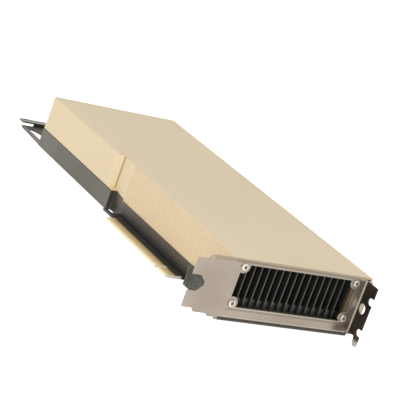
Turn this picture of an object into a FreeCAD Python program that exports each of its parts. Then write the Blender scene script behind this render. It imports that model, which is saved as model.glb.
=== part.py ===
import FreeCAD, Part
import math
import os
from FreeCAD import Vector

# Passive, double-slot, full-length accelerator card, in millimetres.
# Card axes: x runs from the bracket's outer face towards the far end, y from the
# flange's seat face towards the edge connector, z from the solder-side edge of the
# bracket towards the cover. The finished pieces are moved so that the origin is the
# card's datum: the key notch's centre line, at the contact tips, halfway through the board.

# Card outline
card_height = 111.15
full_length = 312.0
cover_length = 267.7
top_overhang = 6.3
fit_gap = 0.05
air_gap = 0.3
beyond = 5.0

# Circuit board and edge connector
board_thickness = 1.57
board_bottom = 3.3
board_margin = 0.4
key_x = 60.0
key_width = 1.9
long_segment_length = 71.65
short_segment_length = 11.65
tab_depth = 8.25
tab_chamfer = 1.0
contact_pitch = 1.0
contact_width = 0.7
contact_length = 7.2
contact_thickness = 0.08
tip_bevel_length = 0.5
tip_bevel_depth = 0.25

# Retention hook beside the far end of the edge connector
hook_gap = 4.4
hook_stem = 5.0
hook_arm = 7.5
hook_arm_width = 2.6
hook_reach = 6.65
hook_root_depth = 11.35
hook_corner = 1.0

# I/O bracket
sheet = 0.94
bracket_height = 38.6
bracket_length = 120.02
tongue_length = 7.27
slot_pitch = 20.32
tongue_width = 10.19
tongue_z = 5.8
bend_radius = 2.0
lip_depth = 2.6
upper_lip_setback = 10.5
lower_lip_setback = 25.0
lower_step_setback = 18.7
lower_step_z = 3.6
shoulder_run = 1.2
tail_notch_depth = 10.0
tail_notch_chamfer = 4.0
flange_depth = 11.43
flange_setback = 4.2
flange_top_setback = 1.2
flange_fillet = 0.8
screw_notch_z = 7.7
screw_notch_width = 4.42
screw_notch_depth = 4.3
flange_hole_x = -4.5
flange_hole_z = 21.1
flange_hole_radius = 3.3
finger_width = 4.0
finger_reach = 5.4
finger_corner = 0.6
finger_root = 1.0

# Bracket window, its shallow recess and its four screws
window_inset = 12.7
window_side_inset = 2.5
window_z0 = 9.9
window_z1 = 36.0
window_corner = 1.0
recess_border = 1.7
recess_depth = 0.35
screw_inset = 0.3
screw_side_inset = 1.6
screw_rise = 1.9
screw_drop = 1.4
screw_pad_radius = 4.0
screw_pad_length = 2.8

# Screws
bracket_head_radius = 2.25
bracket_head_height = 1.25
bracket_head_round = 0.6
bracket_shank_radius = 1.25
bracket_shank_length = 3.0
cross_length = 2.4
cross_width = 0.6
cross_depth = 0.7
board_screw_radius = 1.25
board_screw_length = 10.7
extender_screw_length = 6.2
countersink_radius = 2.5
countersink_depth = 1.0
hex_socket_radius = 0.8
hex_socket_depth = 0.7
hole_clearance = 0.25

# Cover
cover_bottom = 14.4
cover_top = 38.4
cover_skin = 1.2
cover_wall = 1.3
cover_setback = 12.85
cover_edge_radius = 1.8
cover_low_edge_radius = 0.5
cover_front_wall = 1.3
cover_ledge = 1.0
cover_opening_inset = 15.1
groove_offset = 4.6
groove_depth = 4.8
groove_rise = 2.4
ramp_length = 21.2
ramp_lip = 0.4
rib_pitch = 2.15
rib_depth = 0.45
rib_land = 1.15
rib_slope = 0.25
rib_margin = 3.0

# Inner frame
frame_bottom = 1.8
frame_wall = 1.5
foot_step = 1.4
recess_step = 1.8
far_step = 0.5
foot_gap = 2.9
foot_curve_length = 1.7
recess_tail = 24.0
scoop_lean = 0.4
scoop_round = 1.6
hook_edge_gap = 0.4
front_wall_top = 9.0
rear_bar_top = 4.8
boss_radius = 3.2
boss_top = 9.0
boss_web = 3.0
boss_inset = 2.0
boss_side_inset = 3.2
front_boss_offset = 13.0
second_boss_offset = 89.0
third_boss_offset = 91.7
rear_boss_offset = 31.7
extender_boss_offset = 9.7

# Back plate and its insulating film
backplate_thickness = 1.2
backplate_setback = 16.2
film_setback = 2.2

# Heat sink
base_front = 7.0
base_end_setback = 24.7
base_inset = 7.8
base_side_gap = 0.7
base_top = 12.8
base_lip_bottom = 7.3
base_lip = 1.5
fin_front = 4.0
fin_edge = 2.6
fin_pitch = 5.0
fin_thickness = 0.6
fin_foot_z = 8.7
fin_top_gap = 0.3

# Processor package
package_offset = 52.0
substrate_size = 55.0
substrate_thickness = 1.6
stiffener_width = 4.0
stiffener_thickness = 0.6
die_length = 26.0
die_width = 32.0
die_thickness = 0.8
memory_length = 8.0
memory_width = 10.0
memory_gap = 0.6
paste_thickness = 0.1
pedestal_margin = 2.0

# Power supply parts on the board
choke_size = 6.5
choke_height = 3.6
choke_chamfer = 0.5
choke_offset = 46.0
choke_pitch = 9.0
choke_margin = 0.5
stage_length = 5.0
stage_width = 6.0
stage_height = 1.0
stage_offset = 8.0
pad_inset = 0.5
capacitor_radius = 2.0
capacitor_height = 3.4
capacitor_offset = 84.0
capacitor_pitch = 8.5
capacitor_count = 5
capacitor_rows = 2

# Power socket at the far end
socket_setback = 0.5
socket_length = 15.0
socket_boss_gap = 1.3
socket_columns = 4
socket_rows = 2
socket_pitch = 4.2
socket_cavity = 3.6
socket_wall = 1.1
socket_depth = 11.0
latch_length = 5.0
latch_width = 4.0
latch_height = 1.4
latch_setback = 1.0
pin_size = 1.0
pin_length = 7.0

# Full-length extender
extender_sheet = 1.2
extender_joint = 0.5
extender_top = 6.0
extender_side_inset = 0.5
extender_taper = 1.8
extender_corner = 1.6
extender_tongue = 6.0
tongue_inset = 3.3
tongue_side_inset = 2.0
tongue_corner = 2.2
web_inset = 11.3
web_side_inset = 11.5
tongue_slot_setback = 4.5
tongue_slot_length = 4.0
tongue_slot_width = 1.6
grip_setback = 18.5
grip_chord = 27.0
grip_depth = 8.0
grip_edge = 4.6

# Worked-out places: across the card
tip_y = card_height - top_overhang
board_root_y = tip_y - tab_depth
hook_root_y = tip_y - hook_root_depth
cover_low_side = -top_overhang
cover_side = tip_y - cover_setback
foot_side = cover_side + foot_step
far_side = cover_side + far_step
recess_side = cover_side - recess_step
groove_side = cover_side - groove_depth
base_y0 = cover_low_side + base_inset
base_y1 = groove_side - cover_wall - base_side_gap
boss_y0 = base_y0 + boss_inset
boss_y1 = base_y1 - boss_side_inset
middle_y = (boss_y0 + boss_y1) / 2
window_y0 = cover_low_side + window_inset
window_y1 = cover_side - window_side_inset
screw_y0 = window_y0 + screw_inset
screw_y1 = window_y1 - screw_side_inset
fin_count = 1 + int((base_y1 - base_y0 - 2 * fin_edge) / fin_pitch)
choke_count = 1 + int((boss_y1 - boss_y0 - 2 * boss_radius - choke_size - choke_margin) / choke_pitch)

# Worked-out places: along the card
front_x = sheet + fit_gap
pad_end_x = front_x + screw_pad_length
tab_x0 = key_x - key_width / 2 - short_segment_length
tab_x1 = key_x + key_width / 2 + long_segment_length
foot_end_x = tab_x0 - foot_gap
recess_start_x = foot_end_x + foot_curve_length
recess_end_x = tab_x1 + recess_tail
groove_x = recess_end_x + groove_offset
ramp_end_x = groove_x - ramp_length
ramp_rise = (recess_side - groove_side) / ramp_length
far_wall_x = recess_end_x + frame_wall
scoop_side = groove_side + ramp_rise * (groove_x - recess_end_x)
scoop_inner_y = groove_side + ramp_rise * (groove_x - far_wall_x) - frame_wall
board_side = scoop_inner_y - board_margin
hook_stem_x = tab_x1 + hook_gap
hook_slot_x = hook_stem_x + hook_stem
base_end_x = cover_length - base_end_setback
backplate_end_x = cover_length - backplate_setback
film_end_x = cover_length - film_setback
socket_x1 = cover_length - socket_setback
package_x = key_x + package_offset
boss_xs = (front_x + front_boss_offset, front_x + second_boss_offset,
           cover_length - third_boss_offset, cover_length - rear_boss_offset)
extender_boss_x = cover_length - extender_boss_offset
plate_end_x = full_length - extender_tongue

# Worked-out places: levels
board_top = board_bottom + board_thickness
film_bottom = frame_bottom + backplate_thickness
screw_z0 = window_z0 + screw_rise
screw_z1 = window_z1 - screw_drop
shoulder_y = bracket_length - tongue_length
upper_tongue_z = tongue_z + slot_pitch
substrate_top = board_top + substrate_thickness
die_top = substrate_top + die_thickness
paste_top = die_top + paste_thickness
datum = Vector(key_x, tip_y, board_bottom + board_thickness / 2)

AXIS_X = Vector(1, 0, 0)
AXIS_Y = Vector(0, 1, 0)
AXIS_Z = Vector(0, 0, 1)


def box(x0, x1, y0, y1, z0, z1):
    return Part.makeBox(x1 - x0, y1 - y0, z1 - z0, Vector(x0, y0, z0))


def centred_block(x, y, length, width, z0, z1):
    return box(x - length / 2, x + length / 2, y - width / 2, y + width / 2, z0, z1)


def rod(radius, length, start, axis):
    return Part.makeCylinder(radius, length, start, axis)


def prism(points, z0, z1):
    """A plan outline of (x, y) points, raised from z0 to z1."""
    wire = Part.makePolygon([Vector(x, y, z0) for x, y in points + points[:1]])
    return Part.Face(wire).extrude(Vector(0, 0, z1 - z0))


def side_prism(points, x0, x1):
    """A cross-section of (y, z) points, run along the card from x0 to x1."""
    wire = Part.makePolygon([Vector(x0, y, z) for y, z in points + points[:1]])
    return Part.Face(wire).extrude(Vector(x1 - x0, 0, 0))


def join(shapes):
    result = shapes[0]
    for shape in shapes[1:]:
        result = result.fuse(shape)
    return result.removeSplitter()


def cut_all(shape, tools):
    for tool in tools:
        shape = shape.cut(tool)
    return shape.removeSplitter()


def edges_along(shape, axis):
    return [e for e in shape.Edges if abs(e.tangentAt(e.FirstParameter).dot(axis)) > 0.9]


def save(name, shapes):
    """Write one sub-part, moved to the card's datum."""
    moved = [shape.translated(datum.negative()) for shape in shapes]
    result = moved[0] if len(moved) == 1 else Part.makeCompound(moved)
    result.exportStep("parts/" + name + ".step")


def bracket_screw_places():
    return [(y, z) for y in (screw_y0, screw_y1) for z in (screw_z0, screw_z1)]


def board_screw_places():
    return [(x, y) for x in boss_xs for y in (boss_y0, boss_y1)]


def extender_screw_places():
    return [(extender_boss_x, y) for y in (boss_y0, boss_y1)]


def bracket_screw_bores(levels):
    """Bores for the bracket screws at the given levels, through the pads behind the bracket."""
    return [rod(bracket_shank_radius, pad_end_x, Vector(0, y, z), AXIS_X)
            for y, z in bracket_screw_places() if z in levels]


def screw_pads(level, limit):
    """Round pads behind the bracket for its screws at one level, trimmed by limit."""
    return [rod(screw_pad_radius, screw_pad_length, Vector(front_x, y, level), AXIS_X).common(limit)
            for y in (screw_y0, screw_y1)]


def board_screw_bores(places, radius, length):
    return [rod(radius, length, Vector(x, y, frame_bottom), AXIS_Z) for x, y in places]


# I/O bracket: one folded sheet

def bracket_lip(edge_z, inward, y_end):
    """A long edge folded back, with its rounded bend; inward is +1 at the low edge."""
    centre = Vector(bend_radius, 0, edge_z + inward * bend_radius)
    outer = rod(bend_radius, y_end, centre, AXIS_Y)
    inner = rod(bend_radius - sheet, y_end, centre, AXIS_Y)
    z_low = min(edge_z, centre.z)
    quarter = box(0, bend_radius, 0, y_end, z_low, z_low + bend_radius)
    bend = outer.common(quarter).cut(inner)
    lip_z = min(edge_z, edge_z + inward * sheet)
    lip = box(bend_radius, lip_depth, 0, y_end, lip_z, lip_z + sheet)
    return bend.fuse(lip)


def bracket_face():
    """The flat face with its two tongues and the stepped shoulders."""
    bend_top = bracket_height - bend_radius
    tongue_top = upper_tongue_z + tongue_width
    upper_lip_end = bracket_length - upper_lip_setback
    step_y = bracket_length - lower_step_setback
    outline = [
        (0, bend_radius), (step_y, bend_radius), (step_y + shoulder_run, lower_step_z),
        (shoulder_y - shoulder_run, lower_step_z), (shoulder_y, tongue_z),
        (bracket_length, tongue_z), (bracket_length, tongue_top), (shoulder_y, tongue_top),
        (shoulder_y - shoulder_run, bracket_height), (upper_lip_end, bracket_height),
        (upper_lip_end, bend_top), (0, bend_top)]
    return side_prism(outline, 0, sheet)


def tail_notch():
    """The opening between the two tongues, with chamfered inner corners."""
    z0 = tongue_z + tongue_width
    z1 = upper_tongue_z
    y0 = bracket_length - tail_notch_depth
    y1 = bracket_length + beyond
    chamfer = tail_notch_chamfer
    outline = [(y1, z0), (y0 + chamfer, z0), (y0, z0 + chamfer), (y0, z1 - chamfer),
               (y0 + chamfer, z1), (y1, z1)]
    return side_prism(outline, -beyond, sheet + beyond)


def window_tool(x0, x1, grow):
    """The window's rounded rectangle, larger by grow on every side."""
    block = box(x0, x1, window_y0 - grow, window_y1 + grow, window_z0 - grow, window_z1 + grow)
    return block.makeFillet(window_corner + grow, edges_along(block, AXIS_X))


def bracket_window():
    window = window_tool(-beyond, sheet + beyond, 0)
    pads = [rod(screw_pad_radius, sheet + 2 * beyond, Vector(-beyond, y, z), AXIS_X)
            for y, z in bracket_screw_places()]
    return cut_all(window, pads)


def bracket_recess():
    """Shallow pressed border around the window; its upper side ends at the bend."""
    recess = window_tool(-beyond, recess_depth, recess_border)
    bend_top = bracket_height - bend_radius
    return recess.common(box(-beyond, sheet, 0, bracket_length, 0, bend_top))


def screw_seats():
    """Round seats at the depth of the recess, under the screw heads."""
    return [rod(bracket_head_radius + hole_clearance, beyond + recess_depth, Vector(-beyond, y, z), AXIS_X)
            for y, z in bracket_screw_places()]


def flange_outline():
    """Plan of the screw flange, from its root at the bend to the narrow finger at its end."""
    out = -flange_depth
    root_z = flange_setback
    tip_z = root_z - finger_reach
    top_z = bracket_height - flange_top_setback
    inner = out + finger_width
    corner = finger_corner
    return [(sheet, root_z), (inner + finger_root, root_z), (inner, tip_z + corner),
            (inner - corner, tip_z), (out + corner, tip_z), (out, tip_z + corner),
            (out, top_z), (sheet, top_z)]


def flange():
    out = -flange_depth
    points = flange_outline()
    wire = Part.makePolygon([Vector(x, -sheet, z) for x, z in points + points[:1]])
    plate = Part.Face(wire).extrude(Vector(0, sheet, 0))
    z0 = flange_setback
    length = bracket_height - flange_top_setback - z0
    centre = Vector(-flange_fillet, flange_fillet, z0)
    fillet = box(-flange_fillet, 0, 0, flange_fillet, z0, z0 + length).cut(
        rod(flange_fillet, length, centre, AXIS_Z))
    through = sheet + 2 * beyond
    tools = [rod(flange_hole_radius, through, Vector(flange_hole_x, -beyond, flange_hole_z), AXIS_Y)]
    radius = screw_notch_width / 2
    end = out + screw_notch_depth - radius
    for z in (screw_notch_z, screw_notch_z + slot_pitch):
        tools.append(rod(radius, through, Vector(end, -beyond, z), AXIS_Y))
        tools.append(box(out - beyond, end, -beyond, beyond, z - radius, z + radius))
    return cut_all(plate, tools).fuse(fillet)


def io_bracket():
    lower = bracket_lip(0, 1, bracket_length - lower_lip_setback)
    upper = bracket_lip(bracket_height, -1, bracket_length - upper_lip_setback)
    body = join([bracket_face(), lower, upper, flange()])
    holes = [rod(bracket_shank_radius + hole_clearance, beyond, Vector(0, y, z), AXIS_X)
             for y, z in bracket_screw_places()]
    return cut_all(body, [tail_notch(), bracket_recess(), bracket_window()] + screw_seats() + holes)


def bracket_screw(y, z):
    """Pan head screw with a cross recess, driven along x."""
    top_x = recess_depth - bracket_head_height
    head = rod(bracket_head_radius, bracket_head_height, Vector(top_x, y, z), AXIS_X)
    rim = [e for e in head.Edges if e.Closed and abs(e.CenterOfMass.x - top_x) < fit_gap]
    head = head.makeFillet(bracket_head_round, rim)
    shank = rod(bracket_shank_radius, bracket_shank_length, Vector(recess_depth, y, z), AXIS_X)
    arm = cross_length / 2
    half = cross_width / 2
    x0 = top_x - beyond
    x1 = top_x + cross_depth
    tools = [box(x0, x1, y - arm, y + arm, z - half, z + half),
             box(x0, x1, y - half, y + half, z - arm, z + arm)]
    return cut_all(head.fuse(shank), tools)


# Cover: one thin shell, open at the far end and underneath

def rib_points():
    """Plan points of the ribbed stretch, from the ramp's end to the bracket."""
    start = ramp_end_x - ramp_lip
    count = int((start - front_x - rib_margin) / rib_pitch)
    points = []
    for i in range(count):
        x = start - i * rib_pitch
        points += [(x, cover_side), (x - rib_land, cover_side),
                   (x - rib_land - rib_slope, cover_side - rib_depth),
                   (x - rib_pitch + rib_slope, cover_side - rib_depth)]
    return points + [(start - count * rib_pitch, cover_side), (front_x, cover_side)]


def cover_outside():
    return [(front_x, cover_low_side), (cover_length, cover_low_side), (cover_length, cover_side),
            (groove_x + groove_rise, cover_side), (groove_x, groove_side),
            (ramp_end_x, recess_side)] + rib_points()


def cover_inside():
    """Plan outline of the space inside the cover, open past the far end."""
    wall = cover_wall
    x0 = front_x + cover_front_wall
    x1 = cover_length + beyond
    return [(x0, cover_low_side + wall), (x1, cover_low_side + wall), (x1, cover_side - wall),
            (groove_x + groove_rise + wall, cover_side - wall), (groove_x + wall, groove_side - wall),
            (ramp_end_x - wall, recess_side - wall), (ramp_end_x - ramp_lip - wall, cover_side - wall),
            (x0, cover_side - wall)]


def cover_ledge_outline():
    """Plan of the flange that closes the cover's underside above the recess and the groove."""
    ledge_x = groove_x + groove_rise + cover_wall
    return [(foot_end_x, recess_side - frame_wall), (ramp_end_x, recess_side - frame_wall),
            (far_wall_x, scoop_inner_y), (ledge_x, scoop_inner_y), (ledge_x, cover_side - cover_wall),
            (groove_x + groove_rise, cover_side), (recess_end_x, cover_side),
            (recess_end_x, scoop_side), (ramp_end_x, recess_side),
            (ramp_end_x, cover_side - cover_wall), (foot_end_x, cover_side - cover_wall)]


def cover():
    profile = box(0, full_length, cover_low_side, cover_side, cover_bottom, cover_top)
    upper = [e for e in edges_along(profile, AXIS_X) if e.CenterOfMass.z > cover_bottom + cover_skin]
    upper.sort(key=lambda e: e.CenterOfMass.y)
    profile = profile.makeFillet(cover_low_edge_radius, upper[:1])
    upper = [e for e in edges_along(profile, AXIS_X) if e.CenterOfMass.z > cover_bottom + cover_skin]
    upper.sort(key=lambda e: e.CenterOfMass.y)
    profile = profile.makeFillet(cover_edge_radius, upper[-1:])
    outer = prism(cover_outside(), cover_bottom, cover_top).common(profile)
    inner = prism(cover_inside(), cover_bottom - beyond, cover_top - cover_skin)
    opening = box(0, front_x + 2 * cover_front_wall, cover_low_side + cover_opening_inset, window_y1,
                  cover_bottom - beyond, window_z1 + air_gap)
    lip_room = box(0, lip_depth + 2 * fit_gap, cover_low_side - beyond, cover_side + beyond,
                   bracket_height - bend_radius - air_gap, cover_top + beyond)
    ledge = prism(cover_ledge_outline(), cover_bottom, cover_bottom + cover_ledge)
    shell = outer.cut(inner).cut(opening)
    pads = screw_pads(screw_z1, outer)
    return cut_all(join([shell, ledge] + pads), [lip_room] + bracket_screw_bores([screw_z1]))


# Inner frame: the dark ring that carries the cover, the board and the heat sink

def wall_curve(x0, y0, x1, y1):
    """Two points of the soft step between wall planes, near the first and last third."""
    run = x1 - x0
    rise = y1 - y0
    return [(x0 + 0.45 * run, y0 + 0.3 * rise), (x0 + 0.7 * run, y0 + 0.8 * rise)]


def frame_outside():
    """Plan outline: foot by the bracket, recess above the connector, and far wall."""
    scoop_x = recess_end_x - scoop_lean
    scoop = [(scoop_x, scoop_side + scoop_round),
             (scoop_x - 0.3 * scoop_round, scoop_side + 0.45 * scoop_round),
             (scoop_x - scoop_round, scoop_side + ramp_rise * scoop_round + 0.1 * scoop_round)]
    foot_curve = wall_curve(recess_start_x, recess_side, foot_end_x, foot_side)
    return ([(front_x, cover_low_side), (cover_length, cover_low_side), (cover_length, far_side),
             (recess_end_x, far_side)] + scoop + [(ramp_end_x, recess_side),
            (recess_start_x, recess_side)] + foot_curve + [(foot_end_x, foot_side), (front_x, foot_side)])


def frame_inside(gap):
    """Plan outline of the frame's inside, kept clear of its walls by gap."""
    inset = frame_wall + gap
    return [(front_x + inset, cover_low_side + inset), (cover_length - inset, cover_low_side + inset),
            (cover_length - inset, far_side - inset), (far_wall_x + gap, far_side - inset),
            (far_wall_x + gap, scoop_inner_y - gap), (ramp_end_x, recess_side - inset),
            (front_x + inset, recess_side - inset)]


def frame_boss(x, y):
    """A screw boss above the board, with a web to the nearest wall."""
    boss = rod(boss_radius, boss_top - board_top, Vector(x, y, board_top), AXIS_Z)
    if y < middle_y:
        y0, y1 = cover_low_side + frame_wall / 2, y
    else:
        side = far_side if x > recess_end_x else recess_side
        y0, y1 = y, side - frame_wall / 2
    return boss.fuse(box(x - boss_web / 2, x + boss_web / 2, y0, y1, board_top, boss_top))


def inner_frame():
    ring = prism(frame_outside(), frame_bottom, cover_bottom).cut(
        prism(frame_inside(0), frame_bottom - beyond, cover_bottom + beyond))
    below_recess = box(foot_end_x + hook_edge_gap, hook_slot_x + hook_edge_gap, base_y1, tip_y,
                       frame_bottom - beyond, board_top)
    window_cut = box(0, front_x + frame_wall + fit_gap, screw_y0, window_y1, front_wall_top,
                     cover_bottom + beyond)
    rear_x = cover_length - frame_wall - fit_gap
    rear_cut = box(rear_x, full_length, 0, base_y1, rear_bar_top, cover_bottom + beyond)
    extender_cut = box(rear_x, full_length, -card_height, far_side - frame_wall,
                       frame_bottom - beyond, frame_bottom + extender_sheet + fit_gap)
    outside = prism(frame_outside(), frame_bottom, cover_bottom)
    pads = screw_pads(screw_z0, outside)
    ring = cut_all(ring, [below_recess, window_cut, rear_cut, extender_cut])
    bosses = [frame_boss(x, y) for x, y in board_screw_places() + extender_screw_places()]
    bores = board_screw_bores(board_screw_places(), board_screw_radius, board_screw_length)
    bores += board_screw_bores(extender_screw_places(), board_screw_radius, extender_screw_length)
    return cut_all(join([ring] + pads + bosses), bores + bracket_screw_bores([screw_z0]))


# Back plate, film and their screws

def inner_sheet(gap, z0, z1, x_end):
    """A flat sheet that fits inside the frame, from the bracket's end to x_end."""
    sheet_outline = prism(frame_inside(gap), z0, z1)
    return sheet_outline.common(box(0, x_end, -card_height, card_height, z0, z1))


def countersink(x, y):
    return Part.makeCone(countersink_radius, board_screw_radius, countersink_depth,
                         Vector(x, y, frame_bottom), AXIS_Z)


def back_plate():
    plate = inner_sheet(air_gap, frame_bottom, film_bottom, backplate_end_x)
    places = board_screw_places()
    bores = board_screw_bores(places, board_screw_radius + hole_clearance, beyond)
    return cut_all(plate, [countersink(x, y) for x, y in places] + bores)


def insulating_film():
    film = inner_sheet(2 * air_gap, film_bottom, board_bottom, film_end_x)
    places = board_screw_places() + extender_screw_places()
    return cut_all(film, board_screw_bores(places, board_screw_radius + 2 * hole_clearance, beyond))


def board_screw(x, y, length):
    """Countersunk screw from below, with a hexagonal socket."""
    shank = rod(board_screw_radius, length, Vector(x, y, frame_bottom), AXIS_Z)
    corners = [Vector(x + hex_socket_radius * math.cos(math.radians(a)),
                      y + hex_socket_radius * math.sin(math.radians(a)), frame_bottom)
               for a in range(0, 361, 60)]
    socket = Part.Face(Part.makePolygon(corners)).extrude(Vector(0, 0, hex_socket_depth))
    return countersink(x, y).fuse(shank).cut(socket).removeSplitter()


# Circuit board with its gold contacts

def board_outline():
    x0 = front_x + frame_wall + board_margin
    x1 = cover_length - frame_wall - board_margin
    y0 = cover_low_side + frame_wall + board_margin
    stem0 = hook_stem_x
    stem1 = hook_slot_x
    arm_end = stem1 + hook_arm
    out = tip_y - hook_reach
    return [(x0, y0), (x1, y0), (x1, board_side), (stem1, board_side), (stem1, out - hook_arm_width),
            (arm_end, out - hook_arm_width),
            (arm_end - hook_edge_gap, out), (stem0 + hook_corner, out), (stem0, out - hook_corner),
            (stem0, hook_root_y), (tab_x1, hook_root_y), (tab_x1, tip_y - tab_chamfer),
            (tab_x1 - tab_chamfer, tip_y), (tab_x0 + tab_chamfer, tip_y), (tab_x0, tip_y - tab_chamfer),
            (tab_x0, board_side), (x0, board_side)]


def tip_bevel(z, direction):
    """Wedge that bevels the contact tips on one face of the board."""
    outline = [(tip_y + fit_gap, z), (tip_y - tip_bevel_length, z),
               (tip_y + fit_gap, z + direction * tip_bevel_depth)]
    return side_prism(outline, tab_x0 - fit_gap, tab_x1 + fit_gap)


def circuit_board():
    board = prism(board_outline(), board_bottom, board_top)
    radius = key_width / 2
    root_y = board_root_y + radius
    slot = box(key_x - radius, key_x + radius, root_y, tip_y + beyond, board_bottom, board_top)
    root = rod(radius, board_thickness, Vector(key_x, root_y, board_bottom), AXIS_Z)
    places = board_screw_places() + extender_screw_places()
    holes = board_screw_bores(places, board_screw_radius + hole_clearance, beyond)
    return cut_all(board, [slot, root, tip_bevel(board_bottom, 1), tip_bevel(board_top, -1)] + holes)


def contact_row(edge_x, direction, segment_length):
    """Contact centres of one segment, counted away from the key notch."""
    count = int(segment_length / contact_pitch)
    margin = (segment_length - (count - 1) * contact_pitch) / 2
    return [edge_x + direction * (margin + i * contact_pitch) for i in range(count)]


def contacts(z0):
    centres = contact_row(key_x - key_width / 2, -1, short_segment_length)
    centres += contact_row(key_x + key_width / 2, 1, long_segment_length)
    y1 = tip_y - tip_bevel_length
    half = contact_width / 2
    return [box(x - half, x + half, y1 - contact_length, y1, z0, z0 + contact_thickness)
            for x in centres]


# Processor package

def package_substrate():
    return centred_block(package_x, middle_y, substrate_size, substrate_size, board_top, substrate_top)


def package_stiffener():
    top = substrate_top + stiffener_thickness
    inner = substrate_size - 2 * stiffener_width
    ring = centred_block(package_x, middle_y, substrate_size, substrate_size, substrate_top, top)
    return ring.cut(centred_block(package_x, middle_y, inner, inner, substrate_top, top))


def processor_die():
    return centred_block(package_x, middle_y, die_length, die_width, substrate_top, die_top)


def memory_stacks():
    stacks = []
    for side in (-1, 1):
        x = package_x + side * (die_length / 2 + memory_gap + memory_length / 2)
        for row in (-1, 0, 1):
            y = middle_y + row * (memory_width + memory_gap)
            stacks.append(centred_block(x, y, memory_length, memory_width, substrate_top, die_top))
    return stacks


def cooled_length():
    return die_length + 2 * (memory_gap + memory_length)


def thermal_paste():
    return centred_block(package_x, middle_y, cooled_length(), die_width, die_top, paste_top)


# Power supply parts, in a row on each side of the package

def choke_xs():
    return (package_x - choke_offset, package_x + choke_offset)


def row_ys(count, pitch):
    return [middle_y + (i - (count - 1) / 2) * pitch for i in range(count)]


def chokes():
    shapes = []
    for x in choke_xs():
        for y in row_ys(choke_count, choke_pitch):
            block = centred_block(x, y, choke_size, choke_size, board_top, board_top + choke_height)
            shapes.append(block.makeChamfer(choke_chamfer, edges_along(block, AXIS_Z)))
    return shapes


def power_stages():
    return [centred_block(x + stage_offset, y, stage_length, stage_width, board_top, board_top + stage_height)
            for x in choke_xs() for y in row_ys(choke_count, choke_pitch)]


def choke_pads():
    """One thermal pad over each row of chokes, up to the heat sink base."""
    width = choke_size - 2 * pad_inset
    length = (choke_count - 1) * choke_pitch + width
    return [centred_block(x, middle_y, width, length, board_top + choke_height, boss_top)
            for x in choke_xs()]


def capacitors():
    return [rod(capacitor_radius, capacitor_height,
                Vector(package_x + capacitor_offset + row * capacitor_pitch, y, board_top), AXIS_Z)
            for row in range(capacitor_rows) for y in row_ys(capacitor_count, capacitor_pitch)]


# Power socket

def socket_y0():
    return boss_y0 + boss_radius + socket_boss_gap


def socket_cells():
    first = socket_wall + socket_cavity / 2
    return [(socket_y0() + first + column * socket_pitch, board_top + first + row * socket_pitch)
            for column in range(socket_columns) for row in range(socket_rows)]


def power_socket():
    y0 = socket_y0()
    width = 2 * socket_wall + (socket_columns - 1) * socket_pitch + socket_cavity
    top = board_top + 2 * socket_wall + (socket_rows - 1) * socket_pitch + socket_cavity
    body = box(socket_x1 - socket_length, socket_x1, y0, y0 + width, board_top, top)
    latch_x1 = socket_x1 - latch_setback
    latch_y0 = y0 + (width - latch_width) / 2
    latch = box(latch_x1 - latch_length, latch_x1, latch_y0, latch_y0 + latch_width, top, top + latch_height)
    half = socket_cavity / 2
    cavities = [box(socket_x1 - socket_depth, socket_x1 + beyond, y - half, y + half, z - half, z + half)
                for y, z in socket_cells()]
    return cut_all(body.fuse(latch), cavities)


def power_pins():
    half = pin_size / 2
    x0 = socket_x1 - socket_depth
    return [box(x0, x0 + pin_length, y - half, y + half, z - half, z + half) for y, z in socket_cells()]


# Heat sink

def heat_sink_base():
    plate = box(base_front, base_end_x, base_y0, base_y1, boss_top, base_top)
    length = cooled_length() + 2 * pedestal_margin
    width = die_width + 2 * pedestal_margin
    pedestal = centred_block(package_x, middle_y, length, width, paste_top, boss_top)
    lip = box(base_front, base_front + base_lip, base_y0, base_y1, base_lip_bottom, boss_top)
    bores = board_screw_bores(board_screw_places(), board_screw_radius, board_screw_length)
    return cut_all(plate.fuse(pedestal).fuse(lip), bores)


def fins():
    """Upright fins on the base; their front ends reach down past its front face."""
    top = cover_top - cover_skin - fin_top_gap
    below = box(base_front, full_length, base_y0, base_y1, 0, base_top)
    shapes = []
    for i in range(fin_count):
        y = base_y1 - fin_edge - i * fin_pitch
        blade = box(fin_front, base_end_x, y - fin_thickness / 2, y + fin_thickness / 2, fin_foot_z, top)
        shapes.append(blade.cut(below))
    return shapes


# Extender

def extender_outline():
    """Plan of the flat plate: narrow inside the frame, then full width with a slight taper."""
    start = backplate_end_x + extender_joint
    wide = cover_length + fit_gap
    low = cover_low_side + frame_wall + air_gap
    inner = far_side - frame_wall - air_gap
    low_outer = cover_low_side + extender_side_inset
    outer = far_side - extender_side_inset
    corner = extender_corner
    taper = extender_taper
    end = plate_end_x
    return [(start, low), (wide, low), (wide, low_outer), (end - corner, low_outer + taper),
            (end, low_outer + taper + corner), (end, outer - taper - corner),
            (end - corner, outer - taper), (wide, outer), (wide, inner), (start, inner)]


def grip_hole():
    """Half-round finger hole with its straight side towards the card's edge."""
    x = plate_end_x - grip_setback
    y_edge = far_side - extender_side_inset - grip_edge
    radius = ((grip_chord / 2) ** 2 + grip_depth ** 2) / (2 * grip_depth)
    z0 = frame_bottom - beyond
    height = extender_sheet + 2 * beyond
    disc = rod(radius, height, Vector(x, y_edge - grip_depth + radius, z0), AXIS_Z)
    half = box(x - radius, x + radius, y_edge - grip_depth - beyond, y_edge, z0, z0 + height)
    return disc.common(half)


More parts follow.
